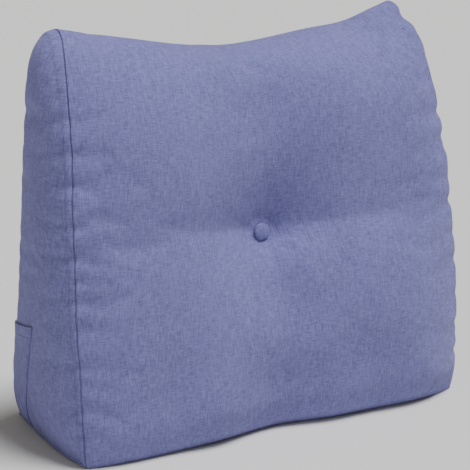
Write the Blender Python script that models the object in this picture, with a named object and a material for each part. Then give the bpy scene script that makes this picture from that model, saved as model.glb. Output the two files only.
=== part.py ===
"""Wedge back cushion: a stuffed cover with a tufted front, a covered button and a side pocket.

The base is deep and the top narrow, so the front leans back. One long wrap panel makes the
front, the top, the back and the underside, and an end panel closes each side.
Metres, +Z up, the front towards -Y, standing on its underside at z = 0.
"""
from typing import NamedTuple

import bmesh
import bpy
import numpy as np
from mathutils import Matrix, Vector

# Whole cushion
BASE_EDGE_BOW = 0.007

# Button and the seat it is pulled down on
BUTTON_RADIUS = 0.0108
BUTTON_HEIGHT = 0.0058
BUTTON_SHIFT_X = -0.0040
BUTTON_SHIFT_UP = 0.0040
BUTTON_Z = 0.255
SEAT_RADIUS = 0.0165
SEAT_RINGS = 2
SEAT_BLEND_RINGS = 4
RING_PITCH = 0.0080
ROUNDED_RINGS = 5
PINCH = 0.0120
PINCH_REACH = 0.045
FIT_GAP = 0.0004

# The two valleys that cross at the button
VALLEY_ACROSS = 0.0154
ACROSS_AT_BUTTON = 0.029
ACROSS_FADE = 0.097
ACROSS_REACH = 0.104
LEVEL_ROUNDING = 0.0065
LEVEL_WIDENING = 0.080
LEVEL_RISE = 0.0060
LEVEL_LEFT_RISE = 0.0150
LEVEL_LEFT_REACH = 0.150
VALLEY_DOWN = 0.0311
DOWN_REACH = 0.125
DOWN_ROUNDING = 0.006
DOWN_SLOPE = 1.37
FACE_HALF_WIDTH = 0.272
SHOULDER_SQUARENESS = 5.2
FOOT_SQUARENESS = 5.0

# End panels
END_BULGE_LEFT = 0.0200
END_BULGE_RIGHT = 0.0120
END_SHOULDER = 2.8
END_UPRIGHT = 6.0
END_TOP_EXTRA = 0.5
RELAX_STEPS = 300

# Patch pocket on the left end panel
POCKET_TOP_Z = 0.158
POCKET_FRONT = 0.52
POCKET_BACK = 0.93
POCKET_FOOT_Z = 0.012
CLOTH = 0.0016
HEM_DEPTH = 0.018
HEM_EXTRA = 0.0009
MOUTH_SLACK = 0.0016

# Mesh density
COLUMNS = 36
BUTTON_SIDES = 32
POCKET_REFINE = 2


class Section(NamedTuple):
    """One row of the wrap panel, from the base front edge over the top to the base back edge.

    The side seams pass through (seam_y, seam_z) at half_width from the middle; the stuffed
    middle of the panel passes through (mid_y, mid_z). The mesh has `steps` rows to the next one.
    """

    seam_y: float
    seam_z: float
    half_width: float
    mid_y: float
    mid_z: float
    steps: int


SECTIONS = (
    Section(-0.0975, 0.000, 0.2720, -0.1195, 0.0000, 2),
    Section(-0.0990, 0.012, 0.2735, -0.1262, 0.0085, 2),
    Section(-0.1005, 0.032, 0.2755, -0.1338, 0.0300, 3),
    Section(-0.1005, 0.068, 0.2770, -0.1378, 0.0660, 5),
    Section(-0.0975, 0.124, 0.2775, -0.1383, 0.1240, 5),
    Section(-0.0910, 0.186, 0.2775, -0.1307, 0.1860, 8),
    Section(-0.0825, 0.255, 0.2735, -0.1207, 0.2550, 8),
    Section(-0.0735, 0.320, 0.2705, -0.1108, 0.3180, 5),
    Section(-0.0620, 0.376, 0.2640, -0.0973, 0.3720, 4),
    Section(-0.0480, 0.424, 0.2598, -0.0808, 0.4190, 3),
    Section(-0.0330, 0.460, 0.2550, -0.0605, 0.4535, 2),
    Section(-0.0130, 0.490, 0.2485, -0.0305, 0.4765, 2),
    Section(+0.0060, 0.507, 0.2430, -0.0020, 0.4825, 2),
    Section(+0.0230, 0.513, 0.2415, +0.0210, 0.4820, 2),
    Section(+0.0400, 0.507, 0.2440, +0.0440, 0.4770, 2),
    Section(+0.0530, 0.488, 0.2490, +0.0680, 0.4620, 3),
    Section(+0.0610, 0.448, 0.2570, +0.0850, 0.4330, 4),
    Section(+0.0640, 0.386, 0.2635, +0.0950, 0.3800, 5),
    Section(+0.0655, 0.320, 0.2695, +0.1000, 0.3180, 8),
    Section(+0.0680, 0.255, 0.2735, +0.1050, 0.2550, 8),
    Section(+0.0760, 0.186, 0.2762, +0.1110, 0.1860, 5),
    Section(+0.0880, 0.124, 0.2772, +0.1170, 0.1240, 5),
    Section(+0.0990, 0.068, 0.2770, +0.1210, 0.0660, 3),
    Section(+0.1025, 0.032, 0.2755, +0.1210, 0.0300, 2),
    Section(+0.1040, 0.012, 0.2735, +0.1170, 0.0085, 2),
    Section(+0.1050, 0.000, 0.2720, +0.1080, 0.0000, 0),
)
FRONT_SECTIONS = 10
TOP_SECTIONS = 5
BUTTON_SECTION = 6


class Nip(NamedTuple):
    """A short crease where the thread draws a side seam in."""

    side: int
    height: float
    depth: float


NIPS = (
    Nip(-1, 0.379, 0.0018), Nip(-1, 0.344, 0.0022), Nip(-1, 0.297, 0.0024), Nip(-1, 0.259, 0.0030),
    Nip(-1, 0.208, 0.0022), Nip(-1, 0.131, 0.0024), Nip(-1, 0.078, 0.0020),
    Nip(+1, 0.375, 0.0024), Nip(+1, 0.343, 0.0026), Nip(+1, 0.259, 0.0024), Nip(+1, 0.180, 0.0018),
    Nip(+1, 0.0935, 0.0022), Nip(+1, 0.056, 0.0020),
)
NIP_HALF_HEIGHT = 0.010
NIP_REACH_WRAP = 0.018
NIP_REACH_END = 0.030


class Swell(NamedTuple):
    """A broad place where the filling stands fuller, or slacker where the height is negative."""

    x: float
    z: float
    height: float
    reach: float


SWELLS = (
    Swell(-0.094, 0.053, 0.0100, 0.043), Swell(0.066, 0.037, 0.0090, 0.056),
    Swell(0.208, 0.050, 0.0079, 0.065), Swell(0.030, 0.220, 0.0110, 0.045),
    Swell(0.188, 0.302, -0.0110, 0.077), Swell(0.138, 0.186, 0.0099, 0.083),
    Swell(-0.017, 0.282, -0.0109, 0.070), Swell(0.093, 0.402, 0.0064, 0.064),
    Swell(-0.169, 0.448, 0.0110, 0.100), Swell(-0.184, 0.105, -0.0109, 0.097),
    Swell(0.178, 0.500, -0.0130, 0.040),
)


def soft_abs(value, radius):
    """Absolute value with its point rounded off, so a crease keeps a radius."""
    return np.sqrt(value * value + radius * radius) - radius


def ease(low, high, value):
    """Smooth step from 0 at low to 1 at high."""
    t = np.clip((value - low) / (high - low), 0.0, 1.0)
    return t * t * (3.0 - 2.0 * t)


def crown(u, low, top):
    """Share of the full stuffing at u across the panel, 0 at both seams.

    The top is an even arch, the face is flat with round shoulders, and so is its foot.
    """
    across = np.abs(u)
    face = 1.0 - across ** SHOULDER_SQUARENESS
    foot = (1.0 - across ** FOOT_SQUARENESS) ** 0.8
    arch = 1.0 - across ** 2.0
    return (face * (1.0 - low) + foot * low) * (1.0 - top) + arch * top


def spline_rows():
    """Rows of (seam_y, seam_z, half_width, mid_y, mid_z) on a smooth curve through SECTIONS."""
    table = np.array([section[:5] for section in SECTIONS])
    chord = np.linalg.norm(np.diff(table[:, 3:5], axis=0), axis=1)
    slope = np.diff(table, axis=0) / chord[:, None]
    tangent = np.empty_like(table)
    tangent[0] = slope[0]
    tangent[-1] = slope[-1]
    ahead = chord[1:, None]
    behind = chord[:-1, None]
    tangent[1:-1] = (slope[:-1] * ahead + slope[1:] * behind) / (ahead + behind)
    rows = []
    for k, section in enumerate(SECTIONS[:-1]):
        for step in range(section.steps):
            t = step / section.steps
            start_weight = 2 * t ** 3 - 3 * t ** 2 + 1
            start_pull = (t ** 3 - 2 * t ** 2 + t) * chord[k]
            end_pull = (t ** 3 - t ** 2) * chord[k]
            rows.append(start_weight * table[k] + (1 - start_weight) * table[k + 1]
                        + start_pull * tangent[k] + end_pull * tangent[k + 1])
    rows.append(table[-1])
    return np.array(rows)


def steps_between(first, last):
    """Mesh rows from one section to another."""
    return sum(section.steps for section in SECTIONS[first:last])


FRONT_ROWS = steps_between(0, FRONT_SECTIONS)
TOP_ROWS = steps_between(FRONT_SECTIONS, FRONT_SECTIONS + TOP_SECTIONS)
BUTTON_ROW = steps_between(0, BUTTON_SECTION)
OVER_ROWS = 2 * FRONT_ROWS + TOP_ROWS


def column_positions():
    """Places across the panel from -1 to 1, closest together at the button and at the seams."""
    even = np.linspace(-1.0, 1.0, COLUMNS + 1)
    return even - 0.5 * np.sin(2.0 * np.pi * even) / (2.0 * np.pi)


def nip_depth(side, height, distance, reach):
    """Depth of the seam creases of one side at a height and a distance from the seam."""
    depth = np.zeros_like(height)
    for nip in NIPS:
        if nip.side == side:
            depth = depth + nip.depth * np.exp(-((height - nip.height) / NIP_HALF_HEIGHT) ** 2)
    return depth * np.exp(-distance / reach)


def valley_level(x):
    """Height of the level valley: it meets the button's upper edge and climbs to the left."""
    return BUTTON_Z + LEVEL_RISE + LEVEL_LEFT_RISE * ease(0.0, LEVEL_LEFT_REACH, -x)


def valley_depth(x, z):
    """Depth of the two soft valleys that run from the button to the edges of the face."""
    rise = z - BUTTON_Z
    from_level = soft_abs(z - valley_level(x), LEVEL_ROUNDING + LEVEL_WIDENING * np.abs(x))
    from_upright = soft_abs(x, DOWN_ROUNDING)
    across = VALLEY_ACROSS + ACROSS_AT_BUTTON * np.exp(-soft_abs(x, DOWN_ROUNDING) / ACROSS_FADE)
    across *= np.exp(-from_level / ACROSS_REACH)
    across *= np.clip(1.0 - (x / FACE_HALF_WIDTH) ** 2, 0.0, 1.0) ** 0.6
    shallow = 1.0 - 0.27 * np.exp(-((rise + 0.13) / 0.06) ** 2)
    foot_fade = 1.0 - 0.22 * (1.0 - ease(0.0, 0.085, z))
    top_fade = 1.0 - 0.42 * ease(0.40, 0.485, z)
    down = VALLEY_DOWN * shallow * foot_fade * top_fade
    down *= np.exp(-(from_upright / DOWN_REACH) ** DOWN_SLOPE)
    return np.cbrt(across ** 3 + down ** 3)


def pinch_depth(x, z):
    """Extra depth where the button is pulled in, level under it."""
    beyond_seat = np.maximum(np.hypot(x, z - BUTTON_Z) - SEAT_RADIUS, 0.0)
    return PINCH * np.exp(-beyond_seat / PINCH_REACH)


def face_depth(u, x, z):
    """Depth of the face's relief at u across the panel; nothing moves at the side seams."""
    across = np.abs(u)
    swell = sum(s.height * np.exp(-((x - s.x) / s.reach) ** 2 - ((z - s.z) / s.reach) ** 2)
                for s in SWELLS)
    return (valley_depth(x, z) + pinch_depth(x, z)) * (1.0 - across ** 8) - swell * (1.0 - across ** 6)


def outward(y, z):
    """Unit outward directions (y, z) along one closed profile."""
    run_y = np.roll(y, -1) - np.roll(y, 1)
    run_z = np.roll(z, -1) - np.roll(z, 1)
    length = np.hypot(run_y, run_z)
    return -run_z / length, run_y / length


def wrap_panel():
    """Points of the wrap panel, indexed by column and row, and the button's seat.

    The rows run up the front, over the top, down the back and forward under the base.
    """
    rows = spline_rows()
    under = np.linspace(0.0, 1.0, TOP_ROWS + 1)[1:-1, None]
    rows = np.vstack([rows, rows[-1] + (rows[0] - rows[-1]) * under])
    seam_y, seam_z, half_width, mid_y, mid_z = rows.T
    columns = column_positions()
    index = np.arange(len(rows))
    low = 1.0 - ease(0.02, 0.10, seam_z)
    top = ease(0.40, 0.50, seam_z)
    over_the_top = 1.0 - ease(FRONT_ROWS - 1, FRONT_ROWS + TOP_ROWS + 3, index)
    on_front = np.where(index > OVER_ROWS, 0.0, over_the_top)

    points = np.zeros((COLUMNS + 1, len(rows), 3))
    middle = COLUMNS // 2
    for i, u in enumerate(columns):
        share = crown(u, low, top)
        points[i, :, 0] = u * half_width
        points[i, :, 1] = seam_y + (mid_y - seam_y) * share
        points[i, :, 2] = seam_z + (mid_z - seam_z) * share
    round_off_near_button(points, middle)

    seat = None
    for i in [middle] + [k for k in range(COLUMNS + 1) if k != middle]:
        x, y, z = points[i].T
        out_y, out_z = outward(y, z)
        out_z = out_z * (1.0 - low * on_front)
        out_y = np.where(low * on_front > 0.0, -np.sqrt(1.0 - out_z ** 2), out_y)
        depth = face_depth(columns[i], x, z) * on_front
        if i == middle:
            facing = np.array([0.0, out_y[BUTTON_ROW], out_z[BUTTON_ROW]])
            seat = (points[i, BUTTON_ROW] - facing * depth[BUTTON_ROW], facing)
        side = 1 if columns[i] > 0 else -1
        from_seam = half_width * (1.0 - abs(columns[i]))
        nip = nip_depth(side, z, from_seam, NIP_REACH_WRAP)
        points[i, :, 0] -= side * nip
        points[i, :, 1] -= out_y * (depth + nip)
        points[i, :, 2] -= out_z * (depth + nip)
    points[..., 2] = np.maximum(points[..., 2], 0.0)
    points[:, OVER_ROWS + 1:] = points[:, OVER_ROWS, None] * (1.0 - under) + points[:, 0, None] * under
    bow = BASE_EDGE_BOW * np.sin(np.pi * under[:, 0]) * (0.3 + 1.2 * under[:, 0])
    points[:, OVER_ROWS + 1:, 0] += columns[:, None] * bow
    level_seat(points, seat, middle)
    return points, seat


def round_off_near_button(points, middle):
    """Turn the square rings of mesh points around the button into round ones."""
    centre = points[middle, BUTTON_ROW].copy()
    up = points[middle, BUTTON_ROW + 1] - centre
    up /= np.linalg.norm(up)
    for a in range(-ROUNDED_RINGS, ROUNDED_RINGS + 1):
        for b in range(-ROUNDED_RINGS, ROUNDED_RINGS + 1):
            ring = max(abs(a), abs(b))
            if ring == 0:
                continue
            point = points[middle + a, BUTTON_ROW + b]
            offset = np.array([point[0] - centre[0], (point - centre) @ up])
            rounded = offset * (ring * RING_PITCH / np.hypot(*offset))
            change = (rounded - offset) * (1.0 - ease(SEAT_RINGS, ROUNDED_RINGS + 1, ring))
            point[0] += change[0]
            point += up * change[1]


def level_seat(points, seat, middle):
    """Lay the mesh points under the button in one plane and ease the ones around it into it."""
    place, facing = seat
    for a in range(-SEAT_BLEND_RINGS, SEAT_BLEND_RINGS + 1):
        for b in range(-SEAT_BLEND_RINGS, SEAT_BLEND_RINGS + 1):
            point = points[middle + a, BUTTON_ROW + b]
            share = 1.0 - ease(SEAT_RINGS, SEAT_BLEND_RINGS + 1, max(abs(a), abs(b)))
            point -= facing * ((point - place) @ facing) * share


def end_panel(points, side):
    """Points of one end panel, indexed by row up the panel and step from front to back."""
    ring = points[0] if side < 0 else points[-1]
    last_top = FRONT_ROWS + TOP_ROWS
    front = ring[:FRONT_ROWS + 1]
    top = ring[FRONT_ROWS:last_top + 1]
    back = ring[last_top:OVER_ROWS + 1][::-1]
    base = np.vstack([ring[OVER_ROWS:], ring[:1]])[::-1]
    up = np.linspace(0.0, 1.0, FRONT_ROWS + 1)[:, None, None]
    along = np.linspace(0.0, 1.0, TOP_ROWS + 1)[None, :, None]
    grid = ((1 - along) * front[:, None] + along * back[:, None]
            + (1 - up) * base[None] + up * top[None]
            - (1 - up) * (1 - along) * front[0] - (1 - up) * along * back[0]
            - up * (1 - along) * front[-1] - up * along * back[-1])
    for _ in range(RELAX_STEPS):
        grid[1:-1, 1:-1] = (grid[:-2, 1:-1] + grid[2:, 1:-1] + grid[1:-1, :-2] + grid[1:-1, 2:]) / 4.0
    up = up[..., 0]
    along = along[..., 0]
    fullness = END_BULGE_LEFT if side < 0 else END_BULGE_RIGHT
    upright = (1.0 - np.abs(2.0 * up - 1.0) ** END_UPRIGHT) ** 0.6
    upright *= 1.0 + END_TOP_EXTRA * ease(0.80, 0.98, up)
    bulge = fullness * upright * (1.0 - np.abs(2.0 * along - 1.0) ** END_SHOULDER)
    depth = np.linalg.norm(back - front, axis=1)[:, None]
    nip = nip_depth(side, grid[..., 2], along * depth, NIP_REACH_END)
    nip *= (along > 0.0) * (along < 1.0)
    grid[..., 0] += side * (bulge - nip)
    return grid


def add_object(name, vertices, faces, material):
    """Make a smooth-shaded mesh object with its faces pointing out."""
    mesh = bpy.data.meshes.new(name)
    mesh.from_pydata([tuple(v) for v in vertices], [], faces)
    work = bmesh.new()
    work.from_mesh(mesh)
    bmesh.ops.recalc_face_normals(work, faces=work.faces)
    work.to_mesh(mesh)
    work.free()
    mesh.validate()
    mesh.materials.append(material)
    mesh.shade_smooth()
    thing = bpy.data.objects.new(name, mesh)
    bpy.context.scene.collection.objects.link(thing)
    return thing


def fabric_material(name, colour, roughness):
    """Plain woven fabric colour."""
    material = bpy.data.materials.new(name)
    material.use_nodes = True
    shader = material.node_tree.nodes["Principled BSDF"]
    shader.inputs["Base Color"].default_value = (*colour, 1.0)
    shader.inputs["Roughness"].default_value = roughness
    shader.inputs["Metallic"].default_value = 0.0
    return material


def make_cushion(points, ends):
    """The stuffed cushion as one closed solid."""
    columns, rows = points.shape[:2]
    vertices = [points.reshape(-1, 3)]
    count = columns * rows

    def wrap_index(i, j):
        return i * rows + j % rows

    faces = [(wrap_index(i, j), wrap_index(i + 1, j), wrap_index(i + 1, j + 1), wrap_index(i, j + 1))
             for i in range(columns - 1) for j in range(rows)]
    for side, grid in ends.items():
        edge = 0 if side < 0 else columns - 1
        up_rows, along_steps = grid.shape[0] - 1, grid.shape[1] - 1
        index = np.zeros(grid.shape[:2], dtype=int)
        for a in range(up_rows + 1):
            for b in range(along_steps + 1):
                if b == 0:
                    index[a, b] = wrap_index(edge, a)
                elif b == along_steps:
                    index[a, b] = wrap_index(edge, OVER_ROWS - a)
                elif a == up_rows:
                    index[a, b] = wrap_index(edge, FRONT_ROWS + b)
                elif a == 0:
                    index[a, b] = wrap_index(edge, rows - b)
                else:
                    index[a, b] = count
                    vertices.append(grid[a, b][None])
                    count += 1
        for a in range(up_rows):
            for b in range(along_steps):
                corners = (index[a, b], index[a, b + 1], index[a + 1, b + 1], index[a + 1, b])
                faces.append(tuple(int(c) for c in (corners if side > 0 else corners[::-1])))
    material = fabric_material("cushion_cloth", (0.180, 0.203, 0.392), 0.92)
    return add_object("cushion_body", np.vstack(vertices), faces, material)


def make_button(seat):
    """Fabric-covered button: a low dome with a rounded rim, flat where it sits in the tuft."""
    place, facing = seat
    radius = BUTTON_RADIUS
    height = BUTTON_HEIGHT
    profile = ((0.55 * radius, 0.0), (0.86 * radius, 0.0), (0.96 * radius, 0.12 * height),
               (radius, 0.30 * height), (0.97 * radius, 0.50 * height), (0.86 * radius, 0.70 * height),
               (0.64 * radius, 0.87 * height), (0.34 * radius, 0.97 * height))
    vertices = [(0.0, 0.0, 0.0)]
    for ring_radius, ring_height in profile:
        for k in range(BUTTON_SIDES):
            angle = 2.0 * np.pi * k / BUTTON_SIDES
            vertices.append((ring_radius * np.cos(angle), ring_radius * np.sin(angle), ring_height))
    vertices.append((0.0, 0.0, height))
    faces = []
    last = len(vertices) - 1
    final_ring = 1 + (len(profile) - 1) * BUTTON_SIDES
    for k in range(BUTTON_SIDES):
        n = (k + 1) % BUTTON_SIDES
        faces.append((0, 1 + n, 1 + k))
        faces.append((last, final_ring + k, final_ring + n))
        for ring in range(len(profile) - 1):
            a = 1 + ring * BUTTON_SIDES
            b = a + BUTTON_SIDES
            faces.append((a + k, a + n, b + n, b + k))
    material = fabric_material("button_cloth", (0.200, 0.225, 0.420), 0.90)
    button = add_object("button", vertices, faces, material)
    z_axis = Vector(facing)
    x_axis = Vector((1.0, 0.0, 0.0))
    y_axis = z_axis.cross(x_axis)
    turn = Matrix((x_axis, y_axis, z_axis)).transposed()
    button.rotation_euler = turn.to_euler()
    shift = BUTTON_SHIFT_X * x_axis + BUTTON_SHIFT_UP * y_axis
    button.location = Vector(place + facing * FIT_GAP) + shift
    return button


def sample_grid(grid, up, along):
    """Point and outward normal on an end panel's facets, at fractional mesh coordinates."""
    a = min(int(up), grid.shape[0] - 2)
    b = min(int(along), grid.shape[1] - 2)
    s = up - a
    t = along - b
    corners = grid[a, b], grid[a, b + 1], grid[a + 1, b], grid[a + 1, b + 1]
    point = ((1 - s) * ((1 - t) * corners[0] + t * corners[1])
             + s * ((1 - t) * corners[2] + t * corners[3]))
    to_back = (1 - s) * (corners[1] - corners[0]) + s * (corners[3] - corners[2])
    to_top = (1 - t) * (corners[2] - corners[0]) + t * (corners[3] - corners[1])
    normal = np.cross(to_top, to_back)
    normal /= np.linalg.norm(normal)
    return point, normal if normal[0] < 0 else -normal


def make_pocket(grid):
    """Patch pocket: one cloth sewn on three edges, with a hemmed mouth that stands off a little."""
    up_rows, along_steps = grid.shape[0] - 1, grid.shape[1] - 1
    heights = grid[:, along_steps // 2, 2]
    foot = np.interp(POCKET_FOOT_Z, heights, np.arange(up_rows + 1))
    mouth = np.interp(POCKET_TOP_Z, heights, np.arange(up_rows + 1))
    low = np.interp(POCKET_TOP_Z - HEM_DEPTH, heights, np.arange(up_rows + 1))
    row_count = int(round((low - foot) * POCKET_REFINE))
    ups = list(np.linspace(foot, low, row_count + 1)) + list(np.linspace(low, mouth, 5)[1:])
    front = POCKET_FRONT * along_steps
    back = POCKET_BACK * along_steps
    alongs = np.linspace(front, back, int(round((back - front) * 3)) + 1)
    inner = np.zeros((len(ups), len(alongs), 3))
    outer = np.zeros_like(inner)
    for i, up in enumerate(ups):
        for j, along in enumerate(alongs):
            point, normal = sample_grid(grid, up, along)
            share = (along - front) / (back - front)
            opening = ease(0.45, 1.0, (up - foot) / (mouth - foot))
            slack = MOUTH_SLACK * opening * 4.0 * share * (1.0 - share)
            hem = HEM_EXTRA * ease(low - 0.2, low + 0.2, up)
            inner[i, j] = point + normal * (FIT_GAP + slack)
            outer[i, j] = point + normal * (FIT_GAP + slack + CLOTH + hem)
    wide = len(alongs)
    tall = len(ups)
    vertices = np.vstack([inner.reshape(-1, 3), outer.reshape(-1, 3)])
    shell = tall * wide
    faces = []
    for i in range(tall - 1):
        for j in range(wide - 1):
            a, b, c, d = i * wide + j, i * wide + j + 1, (i + 1) * wide + j + 1, (i + 1) * wide + j
            faces.append((a, d, c, b))
            faces.append((shell + a, shell + b, shell + c, shell + d))
    rim = ([(0, j) for j in range(wide)] + [(i, wide - 1) for i in range(1, tall)]
           + [(tall - 1, j) for j in range(wide - 2, -1, -1)] + [(i, 0) for i in range(tall - 2, 0, -1)])
    for k, (i, j) in enumerate(rim):
        m, n = rim[(k + 1) % len(rim)]
        a, b = i * wide + j, m * wide + n
        faces.append((a, b, shell + b, shell + a))
    material = fabric_material("pocket_cloth", (0.180, 0.203, 0.392), 0.92)
    return add_object("side_pocket", vertices, faces, material)


def main():
    for thing in list(bpy.data.objects):
        bpy.data.objects.remove(thing, do_unlink=True)
    points, seat = wrap_panel()
    ends = {side: end_panel(points, side) for side in (-1, 1)}
    make_cushion(points, ends)
    make_button(seat)
    make_pocket(ends[-1])


main()
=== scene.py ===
"""Dresses the wedge back cushion: cloth, seams, topstitching, button and side pocket."""

import logging
import math
from dataclasses import dataclass
from enum import Enum
from typing import NamedTuple, Sequence

import bpy
import numpy as np
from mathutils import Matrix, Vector
from mathutils.bvhtree import BVHTree
from mathutils.kdtree import KDTree


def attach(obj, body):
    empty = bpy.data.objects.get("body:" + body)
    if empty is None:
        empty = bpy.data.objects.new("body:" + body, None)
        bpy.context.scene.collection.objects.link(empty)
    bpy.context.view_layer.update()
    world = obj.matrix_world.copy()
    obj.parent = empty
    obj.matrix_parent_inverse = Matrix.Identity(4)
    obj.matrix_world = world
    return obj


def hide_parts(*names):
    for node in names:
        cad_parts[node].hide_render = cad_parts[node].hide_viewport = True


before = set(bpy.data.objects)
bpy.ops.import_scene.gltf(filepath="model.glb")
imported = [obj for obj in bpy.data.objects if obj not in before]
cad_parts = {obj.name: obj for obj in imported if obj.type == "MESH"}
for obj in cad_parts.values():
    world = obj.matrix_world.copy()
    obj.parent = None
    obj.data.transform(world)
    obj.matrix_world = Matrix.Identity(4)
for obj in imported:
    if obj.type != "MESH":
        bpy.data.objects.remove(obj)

LOG = logging.getLogger("wedge_cushion")
BODY = "root"


class Side(Enum):
    """The two ends of the cushion, by the sign of X."""

    POCKET = -1
    PLAIN = 1


class Section(NamedTuple):
    """One row of the wrap panel: its side seams, its half width and its stuffed middle."""

    seam_y: float
    seam_z: float
    half_width: float
    mid_y: float
    mid_z: float


# From the foot of the front, over the top, to the foot of the back.
SECTIONS = (
    Section(-0.0975, 0.000, 0.2720, -0.1170, 0.0000),
    Section(-0.0990, 0.012, 0.2735, -0.1256, 0.0085),
    Section(-0.1005, 0.032, 0.2755, -0.1344, 0.0300),
    Section(-0.1005, 0.068, 0.2770, -0.1378, 0.0660),
    Section(-0.0975, 0.124, 0.2775, -0.1383, 0.1240),
    Section(-0.0910, 0.186, 0.2775, -0.1307, 0.1860),
    Section(-0.0825, 0.255, 0.2735, -0.1207, 0.2550),
    Section(-0.0735, 0.320, 0.2705, -0.1108, 0.3180),
    Section(-0.0620, 0.376, 0.2640, -0.0973, 0.3720),
    Section(-0.0480, 0.424, 0.2598, -0.0808, 0.4190),
    Section(-0.0330, 0.460, 0.2550, -0.0605, 0.4535),
    Section(-0.0130, 0.490, 0.2485, -0.0305, 0.4765),
    Section(+0.0060, 0.507, 0.2430, -0.0020, 0.4825),
    Section(+0.0230, 0.513, 0.2415, +0.0210, 0.4820),
    Section(+0.0400, 0.507, 0.2440, +0.0440, 0.4770),
    Section(+0.0530, 0.488, 0.2490, +0.0680, 0.4620),
    Section(+0.0610, 0.448, 0.2570, +0.0850, 0.4330),
    Section(+0.0640, 0.386, 0.2635, +0.0950, 0.3800),
    Section(+0.0655, 0.320, 0.2695, +0.1000, 0.3180),
    Section(+0.0680, 0.255, 0.2735, +0.1050, 0.2550),
    Section(+0.0760, 0.186, 0.2762, +0.1110, 0.1860),
    Section(+0.0880, 0.124, 0.2772, +0.1170, 0.1240),
    Section(+0.0990, 0.068, 0.2770, +0.1210, 0.0660),
    Section(+0.1025, 0.032, 0.2755, +0.1210, 0.0300),
    Section(+0.1040, 0.012, 0.2735, +0.1170, 0.0085),
    Section(+0.1050, 0.000, 0.2720, +0.1080, 0.0000),
)
TOP_START = 10
TOP_END = 15
BASE_BACK = 25
BUTTON_SECTION = 6
STEPS_EACH_SECTION = 60


class Nip(NamedTuple):
    """A crease where the thread draws a side seam in: side, height, depth, half height, slant."""

    side: int
    height: float
    depth: float
    half: float = 0.007
    slant: float = 0.15


# The left side's creases first, then the right side's, the last one beside the top corner.
NIPS = (
    Nip(-1, 0.379, 0.0014), Nip(-1, 0.344, 0.0021), Nip(-1, 0.297, 0.0021), Nip(-1, 0.259, 0.0024),
    Nip(-1, 0.232, 0.0010), Nip(-1, 0.208, 0.0019), Nip(-1, 0.178, 0.0011), Nip(-1, 0.131, 0.0021),
    Nip(-1, 0.108, 0.0011), Nip(-1, 0.078, 0.0018), Nip(-1, 0.415, 0.0010), Nip(-1, 0.045, 0.0008),
    Nip(+1, 0.375, 0.0024), Nip(+1, 0.343, 0.0026), Nip(+1, 0.330, 0.0016), Nip(+1, 0.259, 0.0024),
    Nip(+1, 0.180, 0.0018), Nip(+1, 0.0935, 0.0018), Nip(+1, 0.078, 0.0012), Nip(+1, 0.056, 0.0018),
    Nip(+1, 0.420, 0.0010), Nip(+1, 0.290, 0.0007), Nip(+1, 0.215, 0.0008), Nip(+1, 0.135, 0.0008),
    Nip(+1, 0.496, 0.0052, 0.0085, 0.0),
)


class Swell(NamedTuple):
    """A broad place where the filling stands fuller, or slacker where the height is negative."""

    x: float
    z: float
    height: float
    reach: float


# Where the photograph shows the front fuller or slacker than its even form.
SWELLS = (
    Swell(-0.094, 0.053, 0.0100, 0.043), Swell(0.066, 0.037, 0.0090, 0.056),
    Swell(0.208, 0.050, 0.0079, 0.065), Swell(0.030, 0.220, 0.0110, 0.045),
    Swell(0.188, 0.302, -0.0110, 0.077), Swell(0.138, 0.186, 0.0099, 0.083),
    Swell(-0.017, 0.282, -0.0109, 0.070), Swell(0.093, 0.402, 0.0064, 0.064),
    Swell(-0.169, 0.448, 0.0110, 0.100), Swell(-0.184, 0.105, -0.0109, 0.097),
    Swell(0.178, 0.500, -0.0130, 0.040),
)


def soft_abs(value: np.ndarray, radius: np.ndarray | float) -> np.ndarray:
    """Return the absolute value with its point rounded off."""
    return np.sqrt(value * value + radius * radius) - radius


def ease(low: float, high: float, value: np.ndarray) -> np.ndarray:
    """Return a smooth step from 0 at low to 1 at high."""
    t = np.clip((value - low) / (high - low), 0.0, 1.0)
    return t * t * (3.0 - 2.0 * t)


def bell(value: np.ndarray, width: float) -> np.ndarray:
    """Return a rounded bump of height 1 at zero."""
    return np.exp(-(value / width) ** 2)


def ripple(a: np.ndarray, b: np.ndarray,
           waves: Sequence[tuple[float, float, float]]) -> np.ndarray:
    """Return a smooth uneven field made of a few crossed waves.

    Args:
        a: First coordinate in metres.
        b: Second coordinate in metres.
        waves: Cycles per metre along a and along b, and the phase, of each wave.

    Returns:
        Values between about -1 and 1.
    """
    total = sum(np.sin(2.0 * np.pi * (wa * a + wb * b) + phase) for wa, wb, phase in waves)
    return total / len(waves)


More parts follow.
